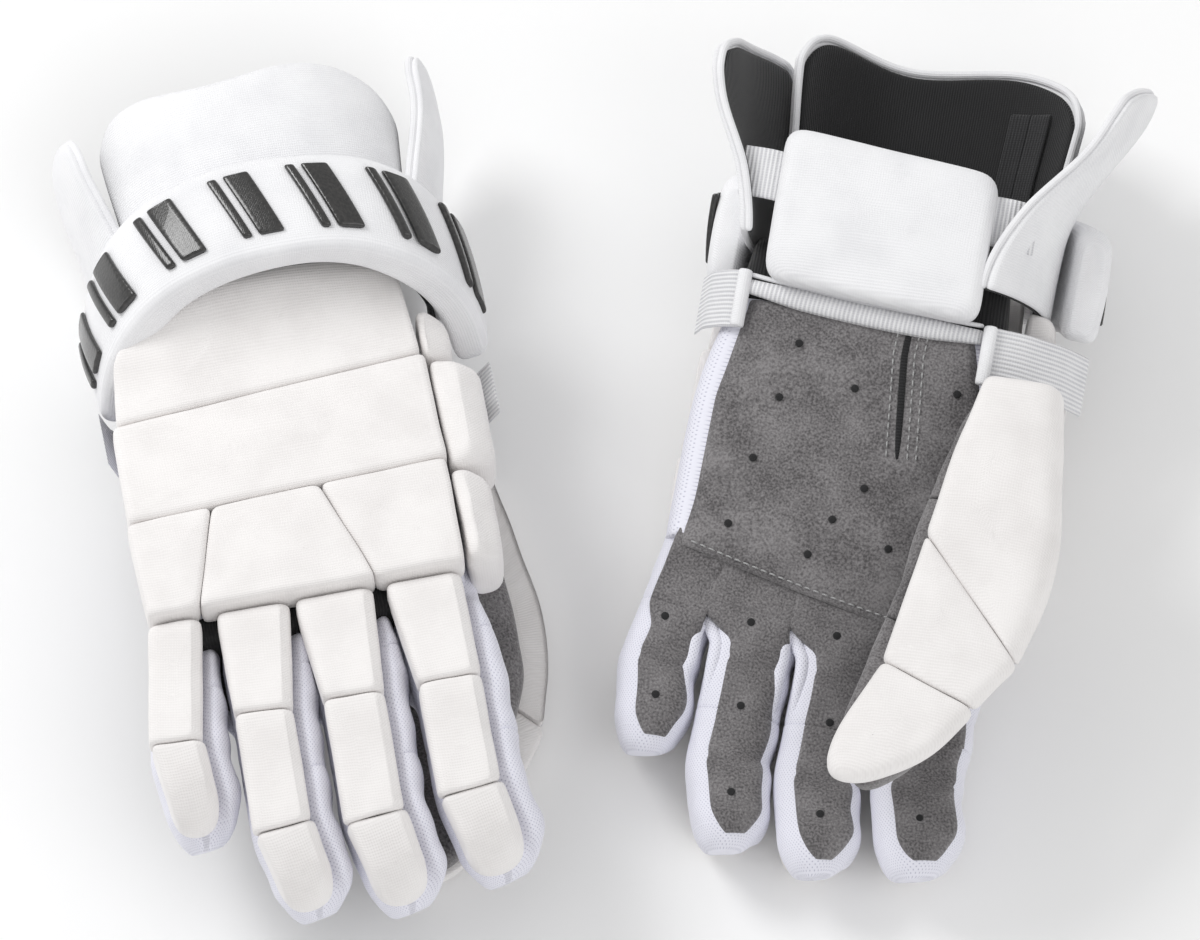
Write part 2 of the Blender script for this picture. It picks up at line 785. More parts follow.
@dataclass
class Palm:
    """The hand's walls and lining, the suede palm, its stitches and holes, and the ribbed welt."""

    place: Place
    edges_y: tuple[float, ...] = (-26, 8, 60, 96, 104)
    little_edge: tuple[float, ...] = (-52, -51.5, -50, -43.5, -42)
    thumb_edge: tuple[float, ...] = (61, 60, 57.5, 48, 47)
    seam_start: float = -0.5
    seam_fall: float = 0.2
    holes: tuple[tuple[float, float], ...] = (
        (-20, 84), (-24, 62), (4, 70), (-30, 37), (14, 32), (-35, 10), (4, 18), (-3, 3), (43, 74), (27, 10), (46, 40),
    )

    def span(self, y: np.ndarray) -> tuple[np.ndarray, np.ndarray]:
        """Little-side and thumb-side edge of the palm at each y."""
        return np.interp(y, self.edges_y, self.little_edge), np.interp(y, self.edges_y, self.thumb_edge)

    def face(self, x: np.ndarray, y: np.ndarray) -> np.ndarray:
        """Height of the palm's outer face."""
        left, right = self.span(y)
        rise = 4.0 * smooth((6 - y) / 30)
        wrap = 5 * smooth((left + 6 - x) / 7) ** 2 + 5 * smooth((x - right + 6) / 7) ** 2
        wrap = wrap * smooth((y + 8) / 34)
        hollow = 1.1 * np.exp(-(((x + 8) / 30) ** 2) - ((y - 40) / 30) ** 2)
        fold = 0.8 * np.exp(-(((y - 22 - 0.35 * x) / 5) ** 2)) * smooth((x + 5) / 30)
        return -0.6 + rise + wrap + hollow + fold

    def seam(self, x: np.ndarray) -> np.ndarray:
        """Y of the seam across the palm in front of the fingers."""
        return self.seam_start - self.seam_fall * (x + 51.5) - 1.5 * np.sin((x + 51.5) / 115 * math.pi)

    def build_shell(self) -> None:
        """Build the mesh walls round the hand and the black lining inside them."""
        def section(y: float, grow: float, low: float, high: float) -> np.ndarray:
            left = np.interp(y, (-6, 10, 70, 110), (-57, -58, -56, -44)) - grow
            right = np.interp(y, (-6, 10, 60, 110), (60, 62, 62, 56)) + grow
            corners = np.array([(left, low), (right, low), (right, high), (left, high)], float)
            flat = rounded(corners, [9, 9, 6, 6], per_edge=8)
            return np.column_stack([flat[:, 0], np.full(len(flat), y), flat[:, 1]])

        stations = [2, 4, 8, 20, 40, 60, 80, 96, 103]
        rings = np.array([section(y, 0.8, 0.8, 35.2) for y in stations])
        weave = rings[..., [2, 1, 0]].copy()
        skin = Skin(roughened(loft(rings, weave).points, 0.7, 0.06, 31), loft(rings, weave).faces, loft(rings, weave).weave)
        thing = self.place.piece("hand_walls", skin, "netting", Slot.MESH, ["hand_gussets"])
        self.place.ride(thing, "hand")
        lows = {-8: 7.0, -6: 6.5, 6: 4.5, 20: 1.8, 60: 1.8, 100: 1.8, 126: 1.8}
        outside = [section(y, 0.0, low, 34.6) for y, low in lows.items()]
        inside = [section(y, -2.5, 4, 31.5) for y in (126, 100, 60, 20)]
        rings = np.array(outside + inside)
        thing = self.place.piece("hand_lining", loft(rings, rings.copy()), "lining", Slot.LINING, ["backhand_liner"])
        self.place.ride(thing, "hand")

    def panel(self, y_from: Callable[[np.ndarray], np.ndarray], y_to: Callable[[np.ndarray], np.ndarray], proud: float) -> Skin:
        """Suede sheet between two lines across the palm.

        Args:
            y_from: Near line as a function of x.
            y_to: Far line as a function of x.
            proud: How far the sheet stands off the palm's face.

        Returns:
            The sheet.
        """
        rows, columns = 44, 48
        u = np.linspace(0, 1, columns)[None]
        v = np.linspace(0, 1, rows)[:, None]
        x = -51 + 111 * u + 0 * v
        y = y_from(x) * (1 - v) + y_to(x) * v
        for _ in range(2):
            left, right = self.span(y)
            x = left + (right - left) * u
            y = y_from(x) * (1 - v) + y_to(x) * v
        border = np.minimum(np.minimum(u, 1 - u) * 16, np.minimum(v, 1 - v) * 22)
        z = self.face(x, y) - proud * smooth(border + 0.25)
        grid = np.stack([x, y, z], axis=-1)
        under = grid + np.array([0, 0, 1.6])
        return slab(roughened(grid, 0.35, 0.045, 5), under, grid * 1.0)

    def build_suede(self) -> None:
        """Build the main panel and the panel in front of the seam."""
        main = self.panel(lambda x: self.seam(x), lambda x: np.full_like(x, 99.0), 1.1)
        thing = self.place.piece("palm_suede", main, "suede", Slot.SUEDE, ["palm_panel"])
        self.bend_front(thing)

    def bend_front(self, thing: bpy.types.Object) -> None:
        """Bend a piece of the palm with the knuckles at its front."""
        self.place.bend(thing, ("hand", "index_base_segment"), (0, 14, 0), (0, -18, 0))

    def stitches(self, line: Sequence[tuple[float, float]], pitch: float = 3.6, lift: float = 1.7) -> Skin:
        """Row of stitches along a line on the palm.

        Args:
            line: Corners of the line in x and y.
            pitch: Distance from stitch to stitch.
            lift: How far the thread stands off the palm's face.

        Returns:
            The stitches as short cords.
        """
        corners = np.array(line, float)
        steps = np.concatenate([[0], np.cumsum(np.linalg.norm(np.diff(corners, axis=0), axis=1))])
        skins = []
        for start in np.arange(0, steps[-1] - pitch, pitch):
            s = start + np.linspace(0.1, 0.72, 4) * pitch
            x, y = np.interp(s, steps, corners[:, 0]), np.interp(s, steps, corners[:, 1])
            arc = np.array([-0.4, 0.25, 0.25, -0.4])
            path = np.column_stack([x, y, self.face(x, y) - lift - arc + 0.35])
            skins.append(tube(path, 0.34, sides=6))
        return joined(skins)

    def build_details(self) -> None:
        """Build the stitches, the slit and the punched holes."""
        across = [(x, float(self.seam(np.array(x))) + 2.4) for x in range(-48, 58, 6)]
        slit_x = [(21, 95), (20.5, 86), (24.5, 44)]
        rows = [self.stitches(across)]
        for offset in (-4.2, 4.0, 7.4):
            rows.append(self.stitches([(x + offset, y) for x, y in slit_x]))
        thing = self.place.piece("palm_stitches", joined(rows), "thread", Slot.SUEDE, levels=0)
        self.bend_front(thing)
        y = np.linspace(96, 45, 14)
        x = np.interp(-y, [-95, -86, -44], [21, 20.5, 24.5])
        path = np.column_stack([x, y, self.face(x, y) - 1.25])
        width = 1.5 * np.sqrt(np.clip(1 - ((y - 75) / 31) ** 4, 0.02, 1))
        thing = self.place.piece("palm_slit", tube(path, width, 8, flat=0.35), "lining", Slot.LINING)
        self.place.ride(thing, "hand")
        dots = [self.hole(x, y) for x, y in self.holes]
        thing = self.place.piece("palm_holes", joined(dots), "lining", Slot.LINING, levels=0)
        self.place.ride(thing, "hand")

    def hole(self, x: float, y: float) -> Skin:
        """One punched hole: a small dark dimple."""
        z = float(self.face(np.array(x), np.array(y))) - 1.6
        return tube(np.array([(x, y, z - 0.25), (x, y, z), (x, y, z + 1.0)]), np.array([1.0, 1.6, 1.4]), 12)

    def build_welt(self) -> None:
        """Build the ribbed welt across the wrist with its line of stitches."""
        x = np.linspace(-43, 49, 26)
        sag = 1.5 * np.sin((x + 43) / 92 * math.pi)
        y = 103 - 0.062 * (x + 43) - sag
        radius = 4.3 - 1.3 * smooth(np.abs(x - 3) / 23 - 1)
        path = np.column_stack([x, y, np.full(len(x), -2.6)])
        skin = tube(path, radius, 14, flat=0.8)
        thing = self.place.piece("palm_welt", skin, "tape", Slot.WEBBING, ["palm_welt"])
        self.place.ride(thing, "hand")
        tail = np.column_stack([x, y + 4.6, np.full(len(x), -3.0)])
        thing = self.place.piece("welt_piping", tube(tail, 1.0, 8), "cuff", Slot.CUFF)
        self.place.ride(thing, "hand")

    def build(self) -> None:
        """Build everything on the palm side of the hand."""
        self.build_shell()
        self.build_suede()
        self.build_details()
        self.build_welt()


# ---------------------------------------------------------------- digits


@dataclass
class DigitPath:
    """The line of a digit through its segments' frames, eased where one frame hands over to the next."""

    frames: list[np.ndarray]
    lengths: Sequence[float]
    ease: float = 9.0

    def starts(self) -> np.ndarray:
        """Distance along the digit at which each segment starts."""
        return np.concatenate([[0], np.cumsum(self.lengths)])[:-1]

    def total(self) -> float:
        """Length of the whole digit."""
        return float(sum(self.lengths))

    def point(self, s: object, x: object, z: object) -> np.ndarray:
        """Points of the glove's frame from distances along, across and above the digit's line."""
        s, x, z = np.broadcast_arrays(*[np.asarray(v, float) for v in (s, x, z)])
        result = None
        for k, start in enumerate(self.starts()):
            here = carried(self.frames[k], np.stack([x, start - s, z], axis=-1))
            share = smooth((s - start + self.ease) / (2 * self.ease))[..., None]
            result = here if result is None else result * (1 - share) + here * share
        return result


@dataclass
class Finger:
    """One finger: rigid foam pads on a mesh sleeve with a suede strip on the palm side."""

    place: Place
    name: str
    root_x: float
    lengths: tuple[float, ...]
    yaws: tuple[float, ...]
    widths: tuple[float, ...]
    curls: tuple[float, ...]
    outer_bulge: float = 10.0
    root_reach: tuple[float, float] = (16.6, 16.6)
    root_height: float = 17.0
    below: float = 12.0
    above: float = 13.0
    pad_thick: float = 15.0
    gap: float = 0.3
    square: float = 2.7
    band: float = 8.0
    shoulder: float = 8.0
    tip_short: float = 4.0
    path: DigitPath = None

    def __post_init__(self) -> None:
        """Work out the segments' frames."""
        frame = shift(self.root_x, 0, self.root_height)
        frames = []
        for k, length in enumerate(self.lengths):
            frame = frame @ turn_z(self.yaws[k]) @ turn_x(self.curls[k])
            frames.append(frame)
            frame = frame @ shift(0, -length, 0)
        self.path = DigitPath(frames, self.lengths)

    def body(self, k: int) -> str:
        """Body of segment k, or the hand before the first."""
        if k < 0:
            return "hand"
        names = ("base", "mid", "tip") if len(self.lengths) == 3 else ("base", "tip")
        return f"{self.name}_{names[k]}_segment"

    def node(self, k: int) -> str:
        """CAD node of segment k."""
        return self.body(k).removesuffix("_segment")

    def half_widths(self, s: np.ndarray) -> tuple[np.ndarray, np.ndarray]:
        """Half width of the sleeve on the little side and on the thumb side."""
        w, n = self.widths, self.path.total()
        stops = [0, 16, *np.cumsum(self.lengths)[:-1], n - 12, n]
        sizes = [w[0] / 2 - 1, w[0] / 2 - 1] + [v / 2 for v in w[1:]] + [w[-1] / 2 - 0.5, w[-1] / 2 - 2]
        little = np.interp(s, stops, sizes) + 0.6
        bulge = self.outer_bulge * (0.7 + 0.3 * smooth((s - 6) / 26))
        ripple = 0.5 * np.sin(s / 3.1 + self.root_x) * smooth((s - 20) / 20)
        thumb = np.interp(s, stops, sizes) + bulge * (1 - 0.25 * smooth((s - n + 20) / 20)) + ripple
        return little, thumb

    def taper(self, s: np.ndarray) -> np.ndarray:
        """Share of the full section left near the fingertip."""
        end, reach = self.path.total() + 1.0, 17.0
        t = np.clip((s - end + reach) / reach, 0, 1)
        return np.sqrt(np.clip(1 - t * t, 0.0, 1)) * 0.97 + 0.03

    def section(self, s: np.ndarray, angle: np.ndarray) -> tuple[np.ndarray, np.ndarray]:
        """Point of the sleeve's section at an angle from the thumb side.

        Args:
            s: Distance along the finger.
            angle: Angle, anticlockwise from the thumb side.

        Returns:
            X and z of the point.
        """
        little, thumb = self.half_widths(s)
        taper = self.taper(s)
        c, d = np.cos(angle), np.sin(angle)
        cx = np.sign(c) * np.abs(c) ** (2 / self.square)
        cz = np.sign(d) * np.abs(d) ** (2 / self.square)
        x = np.where(cx > 0, thumb, little) * cx * (0.35 + 0.65 * taper) * np.where(taper > 0.05, 1, taper * 20)
        middle, half = (self.above - self.below) / 2, (self.above + self.below) / 2
        return x, middle + half * cz * taper**0.8

    def floor(self, s: np.ndarray, x: np.ndarray) -> np.ndarray:
        """Height of the sleeve's palm-side face."""
        little, thumb = self.half_widths(s)
        taper = self.taper(s)
        edge = np.where(x > 0, thumb, little) * (0.35 + 0.65 * taper)
        t = np.clip(np.abs(x) / edge, 0, 0.98)
        middle, half = (self.above - self.below) / 2, (self.above + self.below) / 2
        return middle - half * taper**0.8 * (1 - t**self.square) ** (1 / self.square)

    def spans(self) -> list[tuple[float, float]]:
        """Stretch of the sleeve for each hinge, split halfway along the segments."""
        starts = list(self.path.starts())
        halves = [a + b / 2 for a, b in zip(starts, self.lengths, strict=True)]
        return [(-14.0 if k == 0 else halves[k - 1], halves[k] if k < len(halves) - 1 else self.path.total() + 1)
                for k in range(len(halves))]

    def bend(self, thing: bpy.types.Object, k: int) -> None:
        """Bend a soft piece across hinge k."""
        start = self.path.starts()[k]
        reach = 11.0
        self.place.bend(thing, (self.body(k - 1), self.body(k)), self.path.point(start - reach, 0, 0),
                        self.path.point(start + reach, 0, 0))

    def build_sleeve(self) -> None:
        """Build the mesh sleeve, one piece for each hinge."""
        angle = np.linspace(math.pi / 2, 5 * math.pi / 2, 40, endpoint=False)[None]
        for k, (s0, s1) in enumerate(self.spans()):
            last = k == len(self.lengths) - 1
            s = np.concatenate([[s0, s0 + 0.2], np.arange(s0 + 2.2, s1, 2.2), [s1]])
            if not last:
                s = np.append(s, [s1 + 0.5, s1 + 3, s1 + 6])
            if last:
                s = np.append(s[s < s1 - 8], s1 - 8 * (1 - np.sin(np.linspace(0, math.pi / 2, 9))))
            s = s[:, None]
            x, z = self.section(s, angle)
            beside = np.interp(s, self.path.starts(), np.array(self.widths) / 2) - 1.0
            z = z + self.shoulder * smooth((x - beside) / 5) * smooth(z / 8) * smooth((s - 1) / 9) * self.taper(s)
            tuck = 1 - 0.06 * smooth((s - s1 + 1) / 2) * (not last)
            rings = self.path.point(s + 0 * angle, x * tuck, z * tuck)
            weave = np.stack([angle * 14 + 0 * s, s + 0 * angle, 0 * x], axis=-1)
            skin = loft(rings, weave)
            skin.points = roughened(skin.points, 0.5, 0.11, self.root_x)
            thing = self.place.piece(f"{self.name}_sleeve_{k + 1}", skin, "netting", Slot.MESH)
            self.bend(thing, k)

    def build_strip(self) -> None:
        """Build the suede strip on the palm side, one piece for each hinge."""
        total = self.path.total()
        for k, (s0, s1) in enumerate(self.spans()):
            last = k == len(self.lengths) - 1
            s = np.arange(-6.0 if k == 0 else s0, (total - 2.5) if last else s1 + 4, 1.8)[:, None]
            u = np.linspace(-1, 1, 17)[None]
            root = smooth((35 - s) / 11)
            tip = np.sqrt(np.clip(1 - np.clip((s - total + 15) / 12.8, 0, 1) ** 2, 0.01, 1))
            little, thumb = self.half_widths(s)
            spread = np.clip(s, 0, 30) * 0.035
            left = -(little - self.band) * (1 - root) - (self.root_reach[0] + spread) * root
            right = (thumb - 2.4) * (1 - root) + (self.root_reach[1] + spread) * root
            middle = (left + right) / 2
            x = middle + (right - left) / 2 * u * tip
            crease = sum(0.9 * np.exp(-(((s - j - 2 * np.sin(x / 5)) / 1.6) ** 2)) for j in self.path.starts()[1:])
            rim = smooth((np.abs(u) - 0.86) / 0.14)
            flat = self.floor(s, np.clip(x, 2 - little, thumb - 2)) * (1 - root) - self.below * root
            tuck = 1.6 * smooth((s - s1) / 2) * (not last)
            sink = -2.8 * smooth((12 - s) / 14)
            z = flat - 1.2 + crease + 1.6 * rim * (1 - root) + tuck + sink
            grid = self.path.point(s + 0 * u, x, z)
            under = self.path.point(s + 0 * u, x * 0.97, flat + 1.2)
            weave = np.stack([x, s + 0 * u, 0 * x], axis=-1)
            skin = slab(roughened(grid, 0.4, 0.08, 3 + self.root_x), under, weave)
            thing = self.place.piece(f"{self.name}_suede_{k + 1}", skin, "suede", Slot.SUEDE)
            self.bend(thing, k)

    def build_holes(self) -> None:
        """Build the punched holes in the suede, one or two on each segment."""
        for k, start in enumerate(self.path.starts()):
            s = start + self.lengths[k] * (0.62 if k == 0 else 0.45)
            x = 2.0 if k == 0 else 5.5
            z = float(self.floor(np.array(s), np.array(x))) - 1.35
            ends = [self.path.point(s, x, z + h) for h in (-0.25, 0.0, 1.0)]
            skin = tube(np.array(ends), np.array([1.0, 1.6, 1.4]), 12)
            thing = self.place.piece(f"{self.name}_hole_{k + 1}", skin, "lining", Slot.LINING, levels=0)
            self.place.ride(thing, self.body(k))

    def ends(self, k: int, x: float, z: float) -> tuple[float, float]:
        """Y of a pad's near and far end in its segment's frame."""
        tangent = [math.tan(math.radians(a)) for a in (
            self.yaws[k] if k == 0 else self.yaws[k] / 2, 0 if k == 0 else self.curls[k] / 2)]
        near = -self.gap - x * tangent[0] + z * tangent[1]
        if k == len(self.lengths) - 1:
            return near, -self.lengths[k] + self.tip_short
        yaw, curl = math.radians(self.yaws[k + 1] / 2), math.radians(self.curls[k + 1] / 2)
        return near, -self.lengths[k] + self.gap + x * math.tan(yaw) - z * math.tan(curl)

    def build_pads(self) -> None:
        """Build the foam pad of each segment."""
        for k in range(len(self.lengths)):
            last = k == len(self.lengths) - 1
            near, far = self.widths[k] / 2, (self.widths[k] if last else self.widths[k + 1]) / 2
            high = self.above + self.pad_thick - k

            def outline(z: float, k: int = k, near: float = near, far: float = far, last: bool = last) -> np.ndarray:
                pull = 1.8 if last else 0
                corners = [(-far + pull, 1), (far - pull / 2, 1), (near, 0), (-near, 0)]
                return np.array([(x, self.ends(k, x, z)[end]) for x, end in corners])

            def droop(points: np.ndarray, k: int = k) -> np.ndarray:
                y = points[..., 1]
                moved = points.copy()
                moved[..., 2] -= 11.0 * smooth((-y - self.lengths[k] * 0.2) / (self.lengths[k] * 0.95)) ** 1.4
                return moved

            eases = [6.0 if last else 2.0, 3.8, 2.0, 2.8]
            radii = [11.0, 13.0, 2.5, 2.5] if last else [2.5] * 4
            block = Block(self.above - (4.5 if last else 1.2), high, eases, radii, crown=0.5,
                          straight=(False, True, False, False), bulge=0.3)
            skin = block.skin(outline, droop if last else None)
            skin.points = carried(self.path.frames[k], roughened(skin.points, 0.35, 0.1, self.root_x + k))
            thing = self.place.piece(f"{self.name}_pad_{k + 1}", skin, "pad", Slot.PAD, [self.node(k)])
            self.place.ride(thing, self.body(k))

    def build(self) -> None:
        """Build the whole finger."""
        self.build_sleeve()
        self.build_strip()
        self.build_holes()
        self.build_pads()


@dataclass
class Thumb:
    """The thumb, folded under the palm: a suede stall with three foam pads on its outer face."""

    place: Place
    root: tuple[float, float, float] = (69, 76, -12)
    slope: float = 5.0
    lengths: tuple[float, ...] = (88, 36, 45)
    yaws: tuple[float, ...] = (-4.6, -12.8, -6.6)
    stall_half: float = 8.5
    pad_thick: float = 9.0
    path: DigitPath = None

    def __post_init__(self) -> None:
        """Work out the segments' frames; the thumb's pads face away from the palm."""
        frame = shift(*self.root) @ np.diag([1, 1, -1, 1]) @ turn_x(-self.slope)
        frames = []
        for length, yaw in zip(self.lengths, self.yaws, strict=True):
            frame = frame @ turn_z(yaw)
            frames.append(frame)
            frame = frame @ shift(0, -length, 0)
        self.path = DigitPath(frames, self.lengths)

    def body(self, k: int) -> str:
        """Body of segment k, or the hand before the first."""
        return "hand" if k < 0 else f"thumb_{('base', 'mid', 'tip')[k]}_segment"

    def reach(self, s: np.ndarray) -> tuple[np.ndarray, np.ndarray]:
        """How far the stall reaches toward the palm and away from it."""
        stops = (0, 20, 60, 88, 124, 150, 172)
        palm_side = np.interp(s, stops, (15, 21, 27, 28, 25, 20, 12))
        outer_side = np.interp(s, stops, (10, 12, 17, 19, 16, 13, 8))
        return palm_side, outer_side

    def build_stall(self) -> None:
        """Build the suede stall, one piece for each hinge, with a fold along its palm side."""
        starts, total = self.path.starts(), self.path.total()
        cuts = [4.0, starts[0] + 50, starts[1] + 18, total + 1]
        angle = np.linspace(math.pi / 2, 5 * math.pi / 2, 44, endpoint=False)[None]
        for k in range(3):
            s = np.append(np.arange(cuts[k], cuts[k + 1], 2.5), cuts[k + 1])
            if k == 2:
                s = np.append(s[s < total - 8], total + 1 - 9 * (1 - np.sin(np.linspace(0, math.pi / 2, 9))))
            s = s[:, None]
            taper = np.sqrt(np.clip(1 - np.clip((s - total + 17) / 18.2, 0, 1) ** 2, 0.002, 1))
            palm_side, outer_side = self.reach(s)
            c, d = np.cos(angle), np.sin(angle)
            cx = np.sign(c) * np.abs(c) ** 0.72
            x = np.where(cx > 0, outer_side, palm_side) * cx * taper
            fold = 1.5 * np.exp(-(((x + palm_side * 0.78) / 1.5) ** 2)) * (d > 0)
            z = self.stall_half * np.sign(d) * np.abs(d) ** 0.72 * taper**0.7 - fold
            rings = self.path.point(s + 0 * angle, x, z)
            weave = np.stack([x, s + 0 * angle, z], axis=-1)
            skin = loft(rings, weave)
            skin.points = roughened(skin.points, 0.6, 0.07, 40)
            thing = self.place.piece(f"thumb_stall_{k + 1}", skin, "suede", Slot.SUEDE)
            start, span = starts[k], 11.0
            first = start + 4 if k == 0 else start - span
            self.place.bend(thing, (self.body(k - 1), self.body(k)), self.path.point(first, 0, 0),
                            self.path.point(start + span + 10, 0, 0))

    def build_pads(self) -> None:
        """Build the three pads, whose seams run aslant across the thumb."""
        floor = self.root[2] - self.stall_half + 1.0
        outlines = [
            [(42, 12), (84, -33), (95, 5), (84, 78), (54, 78), (46, 42)],
            [(34, -40), (71, -53), (84, -33.8), (42, 11)],
            [(20, -88), (33, -89), (58, -75), (71, -53.8), (34, -41), (19, -74)],
        ]
        eases = [[1.8, 11, 11, 4, 3, 3], [1.8, 7, 1.8, 3], [6, 7, 7, 1.8, 3, 5]]
        radii = [[3, 3, 24, 5, 4, 12], [3, 3, 3, 3], [9, 9, 14, 4, 3, 12]]
        for k in range(3):
            outline = np.array(outlines[k], float)[::-1] * np.array([1, -1])
            order = eases[k][::-1]
            order = order[1:] + order[:1]
            block = Block(-floor, -floor + self.pad_thick + 0.5, order, radii[k][::-1], crown=0.9, bulge=0.4)
            skin = block.skin(lambda z, o=outline: o)
            flipped = roughened(skin.points, 0.5, 0.06, 50 + k) * np.array([1, -1, -1])
            fall = math.tan(math.radians(self.slope)) * (flipped[:, 1] - self.root[1])
            flipped[:, 2] += fall
            skin.points = flipped
            name = ("thumb_base", "thumb_mid", "thumb_tip")[k]
            thing = self.place.piece(f"thumb_pad_{k + 1}", skin, "pad", Slot.PAD, [name])
            self.place.ride(thing, self.body(k))

    def build_root(self) -> None:
        """Build the suede root that joins the stall to the palm's edge."""
        rings, weave = [], []
        for y in np.linspace(78, -6, 26):
            s = self.root[1] - y
            centre = self.path.point(s, 0, 0)
            narrow = math.sqrt(max(0.03, 1 - smooth((34 - y) / 44) ** 2)) * math.sqrt(max(0.05, min(1, (79 - y) / 8)))
            lift = smooth((34 - y) / 40)
            low = (4.0 - 1.5 * lift) * (1 - lift) + centre[2] * lift
            middle = 0.5 * (54 + centre[0])
            corners = [(middle - 9 * narrow, low), (centre[0] - 15 * narrow, centre[2]),
                       (centre[0] + 9 * narrow, centre[2]), (60 + 1.5 * narrow, low)]
            flat = rounded(np.array(corners, float), [4] * 4)
            rings.append(np.column_stack([flat[:, 0], np.full(len(flat), y), flat[:, 1]]))
            weave.append(rings[-1][:, [2, 1, 0]])
        skin = loft(np.array(rings), np.array(weave))
        skin.points = roughened(skin.points, 0.6, 0.06, 44)
        thing = self.place.piece("thumb_root_suede", skin, "suede", Slot.SUEDE)
        self.place.bend(thing, ("hand", self.body(0)), (62, 60, 3), (62, 60, -11))

    def build(self) -> None:
        """Build the whole thumb."""
        self.build_root()
        self.build_stall()
        self.build_pads()


# ---------------------------------------------------------------- cuff


@dataclass(frozen=True)
class FlapShape:
    """Place of a flap on the arch and its outline."""

    span: tuple[float, float]
    heights: tuple[float, ...]
    start: float
    flare: float
    lean: tuple[float, float] = (0, 0)
    palm_end: int | None = None
    outside: float = 0.0

    def edge_share(self, u: np.ndarray) -> np.ndarray:
        """How much of the lean each column takes, most at the palm's side."""
        if self.palm_end is None:
            return np.zeros_like(u)
        far = 1 - u if self.palm_end == 0 else u
        return far**1.7


